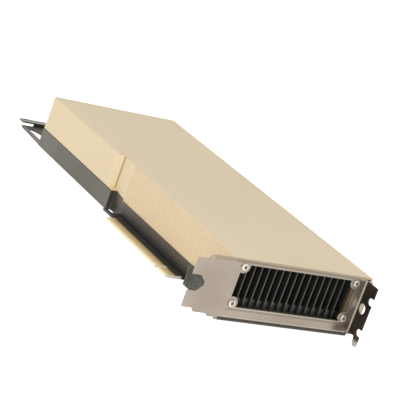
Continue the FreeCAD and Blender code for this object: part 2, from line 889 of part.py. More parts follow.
def extender_tongue_bar():
    """The raised flange at the far end, with its rounded corners and small slot."""
    z0 = extender_top - extender_sheet
    y0 = cover_low_side + tongue_inset
    y1 = cover_side - tongue_side_inset
    bar = box(plate_end_x - extender_sheet, full_length, y0, y1, z0, extender_top)
    outer = [e for e in edges_along(bar, AXIS_Z) if e.CenterOfMass.x > plate_end_x]
    bar = bar.makeFillet(tongue_corner, outer)
    slot_x = plate_end_x + (extender_tongue + extender_sheet) / 2
    slot = centred_block(slot_x, y1 - tongue_slot_setback, tongue_slot_width, tongue_slot_length,
                         z0, extender_top)
    return bar.cut(slot)


def extender():
    plate = prism(extender_outline(), frame_bottom, frame_bottom + extender_sheet)
    web = box(plate_end_x - extender_sheet, plate_end_x, cover_low_side + web_inset,
              cover_side - web_side_inset, frame_bottom, extender_top)
    places = extender_screw_places()
    tools = [grip_hole()] + [countersink(x, y) for x, y in places]
    tools += board_screw_bores(places, board_screw_radius + hole_clearance, extender_sheet)
    return cut_all(join([plate, web, extender_tongue_bar()]), tools)


os.makedirs("parts", exist_ok=True)
save("io_bracket", [io_bracket()])
save("bracket_screws", [bracket_screw(y, z) for y, z in bracket_screw_places()])
save("cover", [cover()])
save("inner_frame", [inner_frame()])
save("back_plate", [back_plate()])
save("insulating_film", [insulating_film()])
save("back_plate_screws", [board_screw(x, y, board_screw_length) for x, y in board_screw_places()])
save("circuit_board", [circuit_board()])
save("contacts_component_side", contacts(board_top))
save("contacts_solder_side", contacts(board_bottom - contact_thickness))
save("package_substrate", [package_substrate()])
save("package_stiffener", [package_stiffener()])
save("processor_die", [processor_die()])
save("memory_stacks", memory_stacks())
save("thermal_paste", [thermal_paste()])
save("chokes", chokes())
save("power_stages", power_stages())
save("choke_pads", choke_pads())
save("capacitors", capacitors())
save("power_socket", [power_socket()])
save("power_pins", power_pins())
save("heat_sink_base", [heat_sink_base()])
save("heat_sink_fins", fins())
save("extender", [extender()])
save("extender_screws", [board_screw(x, y, extender_screw_length) for x, y in extender_screw_places()])
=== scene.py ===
import bpy
import bmesh
import math
from mathutils import Matrix, Quaternion, Vector


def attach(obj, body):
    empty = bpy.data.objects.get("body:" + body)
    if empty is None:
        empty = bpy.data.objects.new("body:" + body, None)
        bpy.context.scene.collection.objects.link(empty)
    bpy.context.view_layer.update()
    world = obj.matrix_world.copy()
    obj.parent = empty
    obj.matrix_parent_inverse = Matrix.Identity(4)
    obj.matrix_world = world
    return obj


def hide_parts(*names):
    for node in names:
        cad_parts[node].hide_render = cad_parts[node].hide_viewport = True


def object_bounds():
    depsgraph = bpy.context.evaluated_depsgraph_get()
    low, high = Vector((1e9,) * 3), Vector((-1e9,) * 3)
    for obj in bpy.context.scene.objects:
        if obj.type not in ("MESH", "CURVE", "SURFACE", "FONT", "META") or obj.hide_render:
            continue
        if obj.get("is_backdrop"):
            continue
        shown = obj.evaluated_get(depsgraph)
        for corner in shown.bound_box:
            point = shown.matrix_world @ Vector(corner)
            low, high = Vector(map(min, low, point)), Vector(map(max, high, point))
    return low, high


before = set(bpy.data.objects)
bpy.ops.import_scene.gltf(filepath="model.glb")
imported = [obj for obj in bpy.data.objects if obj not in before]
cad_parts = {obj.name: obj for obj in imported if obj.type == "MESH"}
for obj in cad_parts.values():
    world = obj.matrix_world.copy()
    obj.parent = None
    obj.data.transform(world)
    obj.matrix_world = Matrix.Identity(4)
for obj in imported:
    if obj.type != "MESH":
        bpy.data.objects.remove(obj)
mm = 0.001


def saveBox(key, sizes):
    low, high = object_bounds()
    sizes[key] = [list(low), list(high)]


sizes = {}
saveBox("cad", sizes)
print("frame loaded, nodes:", len(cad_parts))


# Places are written in card millimetres: x from the bracket's outer face, y from the flange,
# z from the solder side. The datum is the frame's origin in those millimetres.

datum = (60.0, 104.85, 4.085)
axes = "xyz"


def placeOf(x, y, z):
    return Vector((x - datum[0], y - datum[1], z - datum[2])) * mm


def levelOf(axis, value):
    return (value - datum[axes.index(axis)]) * mm


def boxOf(node):
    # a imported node's lowest and highest corner
    points = [vert.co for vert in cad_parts[node].data.vertices]
    return [[pick(point[i] for point in points) / mm + datum[i] for i in range(3)]
            for pick in (min, max)]


# Landmarks that the painted patches follow

coverLow, coverHigh = boxOf("cover")
padLow, padHigh = boxOf("contacts_component_side")
finLow, finHigh = boxOf("heat_sink_fins")
coverEnd, sideY, coverTop = coverHigh  # sideY is the cover's wall above the connector
coverBottom = coverLow[2]
tipY = boxOf("circuit_board")[1][1]
padMargin = 0.475  # from the outermost contacts to the tab's ends
tabStart = padLow[0] - padMargin
tabEnd = padHigh[0] + padMargin
recessStart = tabStart - 4.4  # the foot's rounded end
recessEnd = tabEnd + 24.0  # the frame has its full width again here
grooveX = recessEnd + 4.6  # the groove down the cover's side
windowBottom = 9.9


# Shader node helpers

def addNode(tree, kind, x=0, y=0, **settings):
    node = tree.nodes.new(kind)
    node.location = (x, y)
    for name, value in settings.items():
        setattr(node, name, value)
    return node


def wire(tree, source, target):
    tree.links.new(source, target)


def newGroup(name, inputs, outputs):
    group = bpy.data.node_groups.new(name, "ShaderNodeTree")
    for label, kind, value in inputs:
        socket = group.interface.new_socket(label, in_out="INPUT", socket_type=kind)
        if value is not None:
            socket.default_value = value
    for label, kind in outputs:
        group.interface.new_socket(label, in_out="OUTPUT", socket_type=kind)
    start = addNode(group, "NodeGroupInput", -900)
    end = addNode(group, "NodeGroupOutput", 500)
    return group, start, end


def makeMottleGroup():
    # slow tone changes across a painted or plated sheet, with fine grain on top
    group, start, end = newGroup(
        "mottle",
        [("Colour", "NodeSocketColor", (0.8, 0.8, 0.8, 1)),
         ("Other", "NodeSocketColor", (0.7, 0.7, 0.7, 1)),
         ("Patch Scale", "NodeSocketFloat", 30.0), ("Grain Scale", "NodeSocketFloat", 2500.0),
         ("Roughness", "NodeSocketFloat", 0.4), ("Roughness Change", "NodeSocketFloat", 0.1)],
        [("Colour", "NodeSocketColor"), ("Roughness", "NodeSocketFloat"), ("Grain", "NodeSocketFloat")])
    where = addNode(group, "ShaderNodeTexCoord", -900, -300)
    patches = addNode(group, "ShaderNodeTexNoise", -650, 0)
    grain = addNode(group, "ShaderNodeTexNoise", -650, -300)
    patches.inputs["Detail"].default_value = 3
    grain.inputs["Detail"].default_value = 2
    for noise, scale in ((patches, "Patch Scale"), (grain, "Grain Scale")):
        wire(group, where.outputs["Object"], noise.inputs["Vector"])
        wire(group, start.outputs[scale], noise.inputs["Scale"])
    spread = addNode(group, "ShaderNodeMapRange", -400, 0)
    spread.inputs["From Min"].default_value = 0.35
    spread.inputs["From Max"].default_value = 0.65
    wire(group, patches.outputs["Fac"], spread.inputs["Value"])
    blend = addNode(group, "ShaderNodeMix", -100, 100, data_type="RGBA")
    wire(group, spread.outputs["Result"], blend.inputs["Factor"])
    wire(group, start.outputs["Colour"], blend.inputs["A"])
    wire(group, start.outputs["Other"], blend.inputs["B"])
    wire(group, blend.outputs["Result"], end.inputs["Colour"])
    rough = addNode(group, "ShaderNodeMath", -100, -200, operation="MULTIPLY_ADD")
    wire(group, spread.outputs["Result"], rough.inputs[0])
    wire(group, start.outputs["Roughness Change"], rough.inputs[1])
    wire(group, start.outputs["Roughness"], rough.inputs[2])
    wire(group, rough.outputs["Value"], end.inputs["Roughness"])
    wire(group, grain.outputs["Fac"], end.inputs["Grain"])
    return group


def makeBrushGroup():
    # long drawn lines along one direction, for rolled and brushed sheet
    group, start, end = newGroup(
        "brushLines",
        [("Stretch", "NodeSocketVector", (40.0, 900.0, 900.0)), ("Depth", "NodeSocketFloat", 0.5)],
        [("Lines", "NodeSocketFloat")])
    where = addNode(group, "ShaderNodeTexCoord", -900, -300)
    scale = addNode(group, "ShaderNodeVectorMath", -650, 0, operation="MULTIPLY")
    wire(group, where.outputs["Object"], scale.inputs[0])
    wire(group, start.outputs["Stretch"], scale.inputs[1])
    noise = addNode(group, "ShaderNodeTexNoise", -400, 0)
    noise.inputs["Scale"].default_value = 1.0
    noise.inputs["Detail"].default_value = 3
    wire(group, scale.outputs["Vector"], noise.inputs["Vector"])
    amount = addNode(group, "ShaderNodeMath", -100, 0, operation="MULTIPLY")
    wire(group, noise.outputs["Fac"], amount.inputs[0])
    wire(group, start.outputs["Depth"], amount.inputs[1])
    wire(group, amount.outputs["Value"], end.inputs["Lines"])
    return group


def makeZoneGroup():
    # one inside a slab of the card along an axis, nought outside, with a soft edge
    group, start, end = newGroup(
        "zone",
        [("Axis", "NodeSocketVector", (1.0, 0.0, 0.0)), ("Low", "NodeSocketFloat", 0.0),
         ("High", "NodeSocketFloat", 1.0), ("Soft", "NodeSocketFloat", 0.0002),
         ("Amount", "NodeSocketFloat", 1.0)],
        [("Amount", "NodeSocketFloat")])
    where = addNode(group, "ShaderNodeTexCoord", -900, -300)
    along = addNode(group, "ShaderNodeVectorMath", -700, 0, operation="DOT_PRODUCT")
    wire(group, where.outputs["Object"], along.inputs[0])
    wire(group, start.outputs["Axis"], along.inputs[1])
    steps = []
    for label, sign in (("Low", 1), ("High", -1)):
        gap = addNode(group, "ShaderNodeMath", -500, 200 * sign, operation="SUBTRACT")
        first, second = (along.outputs["Value"], start.outputs[label])
        if sign < 0:
            first, second = second, first
        wire(group, first, gap.inputs[0])
        wire(group, second, gap.inputs[1])
        share = addNode(group, "ShaderNodeMath", -330, 200 * sign, operation="DIVIDE")
        wire(group, gap.outputs["Value"], share.inputs[0])
        wire(group, start.outputs["Soft"], share.inputs[1])
        ramp = addNode(group, "ShaderNodeMapRange", -160, 200 * sign, interpolation_type="SMOOTHSTEP")
        ramp.inputs["From Min"].default_value = -1
        ramp.inputs["From Max"].default_value = 1
        wire(group, share.outputs["Value"], ramp.inputs["Value"])
        steps.append(ramp.outputs["Result"])
    both = addNode(group, "ShaderNodeMath", 50, 0, operation="MULTIPLY")
    wire(group, steps[0], both.inputs[0])
    wire(group, steps[1], both.inputs[1])
    total = addNode(group, "ShaderNodeMath", 230, 0, operation="MULTIPLY")
    wire(group, both.outputs["Value"], total.inputs[0])
    wire(group, start.outputs["Amount"], total.inputs[1])
    wire(group, total.outputs["Value"], end.inputs["Amount"])
    return group


mottle = makeMottleGroup()
zone = makeZoneGroup()
brushLines = makeBrushGroup()
print("shader groups made")


def srgb(r, g, b):
    # colours are written as eye values from 0 to 255
    def linear(v):
        v = v / 255
        return v / 12.92 if v <= 0.04045 else ((v + 0.055) / 1.055) ** 2.4
    return (linear(r), linear(g), linear(b), 1)


def newMaterial(name, metallic=0.0, specular=0.5, coat=0.0):
    material = bpy.data.materials.new(name)
    material.use_nodes = True
    shader = material.node_tree.nodes["Principled BSDF"]
    shader.inputs["Metallic"].default_value = metallic
    shader.inputs["Specular IOR Level"].default_value = specular
    shader.inputs["Coat Weight"].default_value = coat
    shader.inputs["Coat Roughness"].default_value = 0.1
    return material, material.node_tree, shader


def speckled(tree, amount, scale):
    # breaks a zone up into small spots, as a coarse cast skin shows
    where = addNode(tree, "ShaderNodeTexCoord", -900, 500)
    spots = addNode(tree, "ShaderNodeTexNoise", -700, 500)
    spots.inputs["Scale"].default_value = scale
    spots.inputs["Detail"].default_value = 4
    wire(tree, where.outputs["Object"], spots.inputs["Vector"])
    spread = addNode(tree, "ShaderNodeMapRange", -500, 500)
    spread.inputs["From Min"].default_value = 0.42
    spread.inputs["From Max"].default_value = 0.58
    wire(tree, spots.outputs["Fac"], spread.inputs["Value"])
    share = addNode(tree, "ShaderNodeMath", -300, 500, operation="MULTIPLY")
    wire(tree, amount, share.inputs[0])
    wire(tree, spread.outputs["Result"], share.inputs[1])
    return share.outputs["Value"]


def addZones(tree, colour, zones):
    # each zone paints its colour over the part of the card inside its slabs
    for i, values in enumerate(zones):
        amount = None
        for axis, low, high, soft in values["inside"]:
            slab = addNode(tree, "ShaderNodeGroup", -500 + 60 * i, 300 + 40 * i, node_tree=zone)
            slab.inputs["Axis"].default_value = [float(name == axis) for name in axes]
            slab.inputs["Low"].default_value = levelOf(axis, low)
            slab.inputs["High"].default_value = levelOf(axis, high)
            slab.inputs["Soft"].default_value = soft * mm
            slab.inputs["Amount"].default_value = values["amount"]
            if amount is not None:
                wire(tree, amount, slab.inputs["Amount"])
            amount = slab.outputs["Amount"]
        if values["speckle"]:
            amount = speckled(tree, amount, values["speckle"])
        blend = addNode(tree, "ShaderNodeMix", -300 + 60 * i, 300, data_type="RGBA")
        wire(tree, amount, blend.inputs["Factor"])
        wire(tree, colour, blend.inputs["A"])
        blend.inputs["B"].default_value = srgb(*values["colour"])
        colour = blend.outputs["Result"]
    return colour


def surface(name, look):
    # one finish: mottled colour and roughness, fine grain as bump, optional brushed lines
    material, tree, shader = newMaterial(name, look.get("metallic", 0), coat=look.get("coat", 0))
    tone = addNode(tree, "ShaderNodeGroup", -600, 0, node_tree=mottle)
    tone.inputs["Colour"].default_value = srgb(*look["colour"])
    tone.inputs["Other"].default_value = srgb(*look["other"])
    tone.inputs["Patch Scale"].default_value = look["patch"]
    tone.inputs["Grain Scale"].default_value = look.get("grain", 2500)
    tone.inputs["Roughness"].default_value = look["roughness"]
    tone.inputs["Roughness Change"].default_value = 0.08
    colour = addZones(tree, tone.outputs["Colour"], look.get("zones", ()))
    wire(tree, colour, shader.inputs["Base Color"])
    wire(tree, tone.outputs["Roughness"], shader.inputs["Roughness"])
    bump = addNode(tree, "ShaderNodeBump", -300, -300)
    bump.inputs["Strength"].default_value = look.get("bump", 0.1)
    bump.inputs["Distance"].default_value = 0.05 * mm
    if "brush" in look:
        lines = addNode(tree, "ShaderNodeGroup", -600, -350, node_tree=brushLines)
        lines.inputs["Stretch"].default_value = look["brush"]
        lines.inputs["Depth"].default_value = look.get("brushDepth", 0.6)
        total = addNode(tree, "ShaderNodeMath", -420, -350, operation="ADD")
        wire(tree, lines.outputs["Lines"], total.inputs[0])
        wire(tree, tone.outputs["Grain"], total.inputs[1])
        wire(tree, total.outputs["Value"], bump.inputs["Height"])
    else:
        wire(tree, tone.outputs["Grain"], bump.inputs["Height"])
    wire(tree, bump.outputs["Normal"], shader.inputs["Normal"])
    return material


def painted(colour, amount=1.0, speckle=None, **slabs):
    # a patch of colour inside slabs of (low, high, soft edge) along the named axes
    inside = [(axis,) + slab for axis, slab in slabs.items()]
    return dict(colour=colour, amount=amount, speckle=speckle, inside=inside)


frontWall = (0.0, 2.4, 0.1)
padDepth = (0.5, 6.0, 0.2)  # the inner sides of the screw pads nearest the flange
padWidth = (8.8, 12.5, 0.2)
coverSide = (sideY - 6, sideY + 1, 0.4)

coverZones = [
    # painted light: the side wall above the connector lighter than the top
    painted((234, 214, 178), y=(sideY - 8, sideY + 1, 0.4), z=(coverBottom - 0.4, coverTop - 0.8, 0.6)),
    painted((252, 234, 200), x=(grooveX - 0.4, grooveX + 2.8, 0.3), y=coverSide,
            z=(coverBottom - 0.4, coverTop - 0.8, 0.6)),  # the groove's lit slope
    painted((196, 168, 122), x=(grooveX - 0.6, grooveX + 0.3, 0.2), y=coverSide,
            z=(coverBottom - 0.4, coverTop - 1.2, 0.6)),  # the groove's shaded foot
    painted((252, 246, 232), x=(coverEnd - 0.7, coverEnd + 1.3, 0.3)),  # painted highlight on the rim of the air mouth
    painted((132, 104, 62), y=(sideY - 12, sideY + 1, 1),
            z=(coverBottom - 0.4, coverBottom + 0.35, 0.15)),  # painted shadow along the seam above the frame
] + [
    painted(colour, x=frontWall, y=(low, high, 0.1))  # painted shade on the front wall beside the window, with fine lighter and darker lines
    for low, high, colour in ((4, 9.6, (88, 69, 42)), (6.1, 6.5, (182, 158, 116)),
                              (7.3, 7.6, (176, 150, 104)), (8.3, 8.55, (60, 46, 28)))
# painted shade on the screw pads behind the bracket
] + [painted((36, 31, 24), x=padDepth, y=padWidth, z=(28, 37, 0.3))]

flangeDepth = (-12, -1.0, 0.3)
bracketZones = [
    # painted shade on the face towards the flange
    painted((142, 129, 115), y=(-1, 8.5, 3.0), x=(-0.3, 3, 0.2)),
    painted((104, 88, 76), y=(0, 12, 3.0), z=(2, 9, 2.5), x=(-0.3, 3, 0.2)),  # shade in the lower corner
    # painted light on the upper bend
    painted((176, 162, 137), z=(37.2, 40, 0.5)),
    painted((184, 172, 156), z=(windowBottom - 1.15, windowBottom - 0.5, 0.15), y=(5, 90, 1)),  # painted highlight along the sill
    # painted shade along the window's lower edge
    painted((58, 52, 45), z=(windowBottom - 0.5, windowBottom + 0.7, 0.1), y=(9.5, 84, 0.5)),
    # painted shade line below the pressed step
    painted((134, 122, 109), z=(windowBottom - 2.4, windowBottom - 2.0, 0.15), y=(4, 91, 1)),
    painted((62, 57, 51), z=(-2, 2.9, 0.25), y=(-1, 94.2, 0.4)),  # the lower bend in painted shade, its core painted lighter, its rim a painted highlight
    painted((92, 88, 80), z=(-2, 0.9, 0.25), y=(-1, 93.4, 0.4)),
    painted((190, 178, 162), z=(2.9, 3.5, 0.2), y=(2, 94.2, 0.6)),
    # painted shade line along the upper edge
    painted((134, 120, 102), z=(37.5, 38.0, 0.15), y=(4, 94, 0.6), x=(-1, 0.6, 0.3)),
    painted((66, 57, 49), x=flangeDepth),  # the flange in painted shade, its core darker, its finger a painted highlight
    painted((50, 42, 36), x=flangeDepth, z=(20, 34, 8)),
    painted((176, 171, 160), x=(-12, -1.2, 0.3), z=(-2, 2.2, 0.9)),
    # painted highlight along the bend into the flange
    painted((205, 196, 182), x=(-1.0, 0.2, 0.2), y=(-1.5, 0.25, 0.15)),
]

recessWall = (sideY - 12, sideY + 0.2, 0.1)
scoopWall = (recessEnd - 1.7, recessEnd + 0.15, 0.1)
frameZones = [
    # the recess wall, darkened by painted shade towards the board
    painted((98, 87, 74), y=recessWall, x=(recessStart, recessEnd - 0.2, 0.6), z=(-10, 14.6, 0.1)),
    painted((34, 31, 27), y=recessWall, x=(recessStart, recessEnd - 2, 0.6), z=(-10, 9.5, 4.5)),
    # painted shade on the wall facing the bracket, with two darker painted shade lines
    painted((76, 73, 66), x=scoopWall, y=(sideY - 5, sideY + 0.3, 0.3)),
    painted((38, 36, 32), x=scoopWall, y=(sideY - 1.4, sideY - 0.8, 0.2)),
    painted((30, 28, 25), x=scoopWall, y=(sideY - 3.8, sideY - 3.2, 0.2)),
    painted((96, 93, 83), y=(sideY - 0.5, sideY + 1, 0.1), x=(recessEnd - 0.2, recessEnd + 11.4, 3.0)),
    # painted shade on the screw pads behind the bracket
    painted((34, 31, 27), x=padDepth, y=padWidth, z=(7, 17, 0.3)),
    painted((80, 81, 72), x=(-1, 3, 0.3), y=(sideY - 8, sideY + 8, 0.5)),  # the foot beside the bracket
    painted((74, 72, 63), x=(2.5, recessStart, 1.0), y=(sideY - 4, sideY + 2, 0.5)),
    painted((34, 34, 28), amount=0.9, speckle=520, x=(-1, recessStart, 1.0),
            y=(sideY - 8, sideY + 8, 0.5)),
    painted((52, 48, 40), x=(-1, 3, 0.5), y=(sideY + 6.6, sideY + 10, 0.8)),
]

extenderZones = [
    # painted shade on the web
    painted((60, 57, 51), z=(3.2, 5.6, 0.2)),
    # painted light on the flange's top
    painted((148, 147, 138), z=(5.8, 6.5, 0.1)),
    # painted light on the outer strip
    painted((124, 121, 113), z=(2.8, 3.3, 0.1), y=(87.6, 93, 0.2)),
]

tabLength = (tabStart - 2.4, tabEnd + 2.4, 0.2)
boardZones = [
    painted((190, 165, 122), y=(padLow[1] + 0.25, tipY + 5, 0.2), x=tabLength),
    # painted highlight on the tip's bevel
    painted((252, 244, 206), y=(tipY - 0.65, tipY + 5, 0.3), x=tabLength),
    # painted highlight on the tab's near end
    painted((252, 246, 224), y=(93.5, tipY + 5, 0.3), x=(tabStart - 2.4, tabStart + 0.6, 0.15)),
    painted((250, 242, 214), y=(97, tipY + 5, 0.3),
            x=(datum[0] - 1.4, datum[0] + 2.2, 0.15)),  # painted highlight on the walls of the key notch
    # painted highlight on the tab's far end
    painted((250, 242, 214), y=(96, tipY + 5, 0.3), x=(tabEnd - 0.3, tabEnd + 2.4, 0.15)),
    # painted shadow between the frame wall and the board
    painted((20, 18, 17), x=(2, 250, 1), y=(sideY - 4, sideY - 0.4, 0.8)),
]

contactZones = [
    painted((132, 106, 72), y=(padLow[1] - 7, padLow[1] + 0.85, 0.2)),
    # painted highlight towards the contacts' tips
    painted((252, 240, 196), y=(101.4, tipY + 5, 1.8)),
]

finZones = [painted((100, 100, 94), x=(finLow[0] - 1, finLow[0] + 0.1, 0.05))]

finishes = {
    "goldPaint": dict(colour=(223, 205, 174), other=(219, 201, 170), patch=14, roughness=0.55,
                      metallic=0.1, bump=0.05, zones=coverZones),
    "nickelSheet": dict(colour=(172, 160, 146), other=(163, 150, 137), patch=45, roughness=0.42,
                        metallic=0.55, bump=0.08, brush=(900, 30, 900), brushDepth=0.5,
                        zones=bracketZones),
    "brightScrew": dict(colour=(222, 217, 208), other=(180, 174, 165), patch=400, roughness=0.3,
                        metallic=0.8, bump=0.04),
    # the sockets: for the bright screws a darker copy of their metal, as painted shade in the recess
    "screwSocket": dict(colour=(150, 140, 127), other=(122, 113, 102), patch=700, roughness=0.5,
                        metallic=0.5, bump=0.05),
    "darkCasting": dict(colour=(99, 96, 85), other=(94, 91, 80), patch=24, roughness=0.5,
                        metallic=0.1, bump=0.12, grain=1800, zones=frameZones),
    "extenderSheet": dict(colour=(90, 87, 78), other=(84, 81, 73), patch=12, roughness=0.5,
                          metallic=0.1, bump=0.12, grain=1800, zones=extenderZones),
    "blackSheet": dict(colour=(42, 42, 42), other=(36, 36, 37), patch=18, roughness=0.45, bump=0.1),
    "blackSteel": dict(colour=(52, 52, 54), other=(40, 40, 42), patch=300, roughness=0.32, metallic=0.6),
    "filmBlack": dict(colour=(46, 46, 48), other=(38, 38, 40), patch=60, roughness=0.3, bump=0.05),
    "boardMask": dict(colour=(58, 54, 50), other=(46, 43, 41), patch=80, roughness=0.35, coat=0.2,
                      bump=0.05, zones=boardZones),
    "contactGold": dict(colour=(232, 207, 160), other=(224, 198, 150), patch=300, roughness=0.34,
                        metallic=0.25, bump=0.03, zones=contactZones),
    "laminate": dict(colour=(48, 70, 46), other=(42, 62, 41), patch=200, roughness=0.35, coat=0.3),
    "stiffenerMetal": dict(colour=(168, 168, 168), other=(158, 158, 160), patch=60, roughness=0.35,
                           metallic=0.9, brush=(50, 900, 900)),
    "silicon": dict(colour=(70, 74, 84), other=(62, 66, 78), patch=40, roughness=0.12, metallic=0.6),
    "mouldedBlack": dict(colour=(34, 34, 35), other=(29, 29, 30), patch=120, roughness=0.5, bump=0.2),
    "pasteGrey": dict(colour=(150, 150, 148), other=(140, 140, 139), patch=200, roughness=0.6, bump=0.3),
    "chokeGrey": dict(colour=(74, 74, 76), other=(62, 62, 64), patch=300, roughness=0.55, bump=0.3),
    "padBlue": dict(colour=(132, 150, 170), other=(124, 142, 162), patch=200, roughness=0.7, bump=0.3),
    "canMetal": dict(colour=(190, 190, 192), other=(178, 178, 181), patch=500, roughness=0.25,
                     metallic=1.0),
    "socketBlack": dict(colour=(30, 30, 31), other=(26, 26, 27), patch=150, roughness=0.42, bump=0.15),
    "pinTin": dict(colour=(200, 192, 170), other=(186, 178, 158), patch=600, roughness=0.3,
                   metallic=1.0),
    "baseMetal": dict(colour=(124, 127, 122), other=(110, 113, 109), patch=60, roughness=0.45,
                      metallic=0.4, brush=(40, 900, 900)),
    "finBlack": dict(colour=(62, 62, 58), other=(52, 52, 49), patch=60, roughness=0.45, metallic=0.2,
                     zones=finZones),
}
looks = {name: surface(name, look) for name, look in finishes.items()}
print("finishes made:", len(looks))

nodeFinishes = {
    "io_bracket": "nickelSheet", "bracket_screws": "brightScrew", "cover": "goldPaint",
    "inner_frame": "darkCasting", "back_plate": "blackSheet", "insulating_film": "filmBlack",
    "back_plate_screws": "blackSteel", "circuit_board": "boardMask",
    "contacts_component_side": "contactGold", "contacts_solder_side": "contactGold",
    "package_substrate": "laminate", "package_stiffener": "stiffenerMetal", "processor_die": "silicon",
    "memory_stacks": "mouldedBlack", "thermal_paste": "pasteGrey", "chokes": "chokeGrey",
    "power_stages": "mouldedBlack", "choke_pads": "padBlue", "capacitors": "canMetal",
    "power_socket": "socketBlack", "power_pins": "pinTin", "heat_sink_base": "baseMetal",
    "heat_sink_fins": "finBlack", "extender": "extenderSheet", "extender_screws": "blackSteel",
}
for node, finish in nodeFinishes.items():
    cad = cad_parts[node]
    cad.data.materials.clear()
    cad.data.materials.append(looks[finish])
print("CAD nodes dressed:", len(nodeFinishes))


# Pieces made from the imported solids: same shape, with softened edges

def newObject(name, mesh):
    item = bpy.data.objects.new(name, mesh)
    bpy.context.scene.collection.objects.link(item)
    return item


def finishPiece(piece, node):
    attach(piece, "root")
    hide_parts(node)


sharpOver = 35  # degrees between faces at which an edge counts as sharp
softening = dict(mergeWithin=0.002, flatWithin=0.004, segments=2)  # millimetres and radians


def softened(node, look, edge):
    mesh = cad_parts[node].data.copy()
    mesh.name = node + ".soft"
    shape = bmesh.new()
    shape.from_mesh(mesh)
    bmesh.ops.remove_doubles(shape, verts=shape.verts, dist=softening["mergeWithin"] * mm)
    flat = [e for e in shape.edges
            if len(e.link_faces) == 2 and e.calc_face_angle(0) < softening["flatWithin"]]
    bmesh.ops.dissolve_edges(shape, edges=flat, use_verts=False)
    spare = [v for v in shape.verts if len(v.link_edges) == 2]
    bmesh.ops.dissolve_verts(shape, verts=spare)
    bmesh.ops.recalc_face_normals(shape, faces=shape.faces)
    shape.to_mesh(mesh)
    shape.free()
    piece = newObject(node + ".soft", mesh)
    mesh.materials.clear()
    mesh.materials.append(looks[look])
    bevel = piece.modifiers.new("edge", "BEVEL")
    bevel.width = edge * mm
    bevel.segments = softening["segments"]
    bevel.limit_method = "ANGLE"
    bevel.angle_limit = math.radians(sharpOver)
    for face in mesh.polygons:
        face.use_smooth = False
    return piece


softPieces = {
    "io_bracket": dict(look="nickelSheet", edge=0.12, slot="nickel_sheet"),
    "cover": dict(look="goldPaint", edge=0.15, slot="gold_paint"),
    "inner_frame": dict(look="darkCasting", edge=0.2, slot="dark_casting"),
    "circuit_board": dict(look="boardMask", edge=0.08, slot="board_mask"),
    "extender": dict(look="extenderSheet", edge=0.2, slot="dark_casting"),
}
for node, values in softPieces.items():
    finishPiece(softened(node, values["look"], values["edge"]), node)
print("softened pieces:", len(softPieces))


# Repeated pieces: rows of one shape, and one shape set on several places

def newGeometryTree(name, inputs):
    tree = bpy.data.node_groups.new(name, "GeometryNodeTree")
    tree.interface.new_socket("Geometry", in_out="INPUT", socket_type="NodeSocketGeometry")
    for label, kind, value in inputs:
        socket = tree.interface.new_socket(label, in_out="INPUT", socket_type=kind)
        if value is not None:
            socket.default_value = value
    tree.interface.new_socket("Geometry", in_out="OUTPUT", socket_type="NodeSocketGeometry")
    start = addNode(tree, "NodeGroupInput", -900)
    end = addNode(tree, "NodeGroupOutput", 900)
    return tree, start, end


def finishTree(tree, start, end, instances):
    # instances become plain geometry, then take the plain look, and the inner look where marked
    whole = addNode(tree, "GeometryNodeRealizeInstances", 300)
    wire(tree, instances, whole.inputs["Geometry"])
    plain = addNode(tree, "GeometryNodeSetMaterial", 500)
    wire(tree, whole.outputs["Geometry"], plain.inputs["Geometry"])
    wire(tree, start.outputs["Look"], plain.inputs["Material"])
    marked = addNode(tree, "GeometryNodeInputNamedAttribute", 500, -200, data_type="FLOAT")
    marked.inputs["Name"].default_value = "inner"
    inner = addNode(tree, "GeometryNodeSetMaterial", 700)
    wire(tree, plain.outputs["Geometry"], inner.inputs["Geometry"])
    wire(tree, marked.outputs["Attribute"], inner.inputs["Selection"])
    wire(tree, start.outputs["Inner Look"], inner.inputs["Material"])
    wire(tree, inner.outputs["Geometry"], end.inputs["Geometry"])


def makeRowTree():
    # copies of the object's own shape along a line, with one wider gap where the row is broken
    tree, start, end = newGeometryTree("pieceRow", [
        ("Count", "NodeSocketInt", 2), ("Pitch", "NodeSocketVector", (0.001, 0, 0)),
        ("Break After", "NodeSocketInt", 10000), ("Break Gap", "NodeSocketVector", (0, 0, 0)),
        ("Look", "NodeSocketMaterial", None), ("Inner Look", "NodeSocketMaterial", None)])
    line = addNode(tree, "GeometryNodeMeshLine", -600, 100, mode="OFFSET")
    wire(tree, start.outputs["Count"], line.inputs["Count"])
    wire(tree, start.outputs["Pitch"], line.inputs["Offset"])
    number = addNode(tree, "GeometryNodeInputIndex", -600, -200)
    after = addNode(tree, "FunctionNodeCompare", -400, -200, data_type="INT", operation="GREATER_EQUAL")
    wire(tree, number.outputs["Index"], after.inputs["A"])
    wire(tree, start.outputs["Break After"], after.inputs["B"])
    shift = addNode(tree, "GeometryNodeSetPosition", -200, 100)
    wire(tree, line.outputs["Mesh"], shift.inputs["Geometry"])
    wire(tree, after.outputs["Result"], shift.inputs["Selection"])
    wire(tree, start.outputs["Break Gap"], shift.inputs["Offset"])
    copies = addNode(tree, "GeometryNodeInstanceOnPoints", 50)
    wire(tree, shift.outputs["Geometry"], copies.inputs["Points"])
    wire(tree, start.outputs["Geometry"], copies.inputs["Instance"])
    finishTree(tree, start, end, copies.outputs["Instances"])
    return tree


def makePlacedTree():
    # one template on every vertex of the object's mesh
    tree, start, end = newGeometryTree("piecePlaces", [
        ("Template", "NodeSocketObject", None), ("Size", "NodeSocketFloat", 1.0),
        ("Look", "NodeSocketMaterial", None), ("Inner Look", "NodeSocketMaterial", None)])
    shape = addNode(tree, "GeometryNodeObjectInfo", -400, -200)
    wire(tree, start.outputs["Template"], shape.inputs["Object"])
    copies = addNode(tree, "GeometryNodeInstanceOnPoints", 50)
    wire(tree, start.outputs["Geometry"], copies.inputs["Points"])
    wire(tree, shape.outputs["Geometry"], copies.inputs["Instance"])
    wire(tree, start.outputs["Size"], copies.inputs["Scale"])
    finishTree(tree, start, end, copies.outputs["Instances"])
    return tree


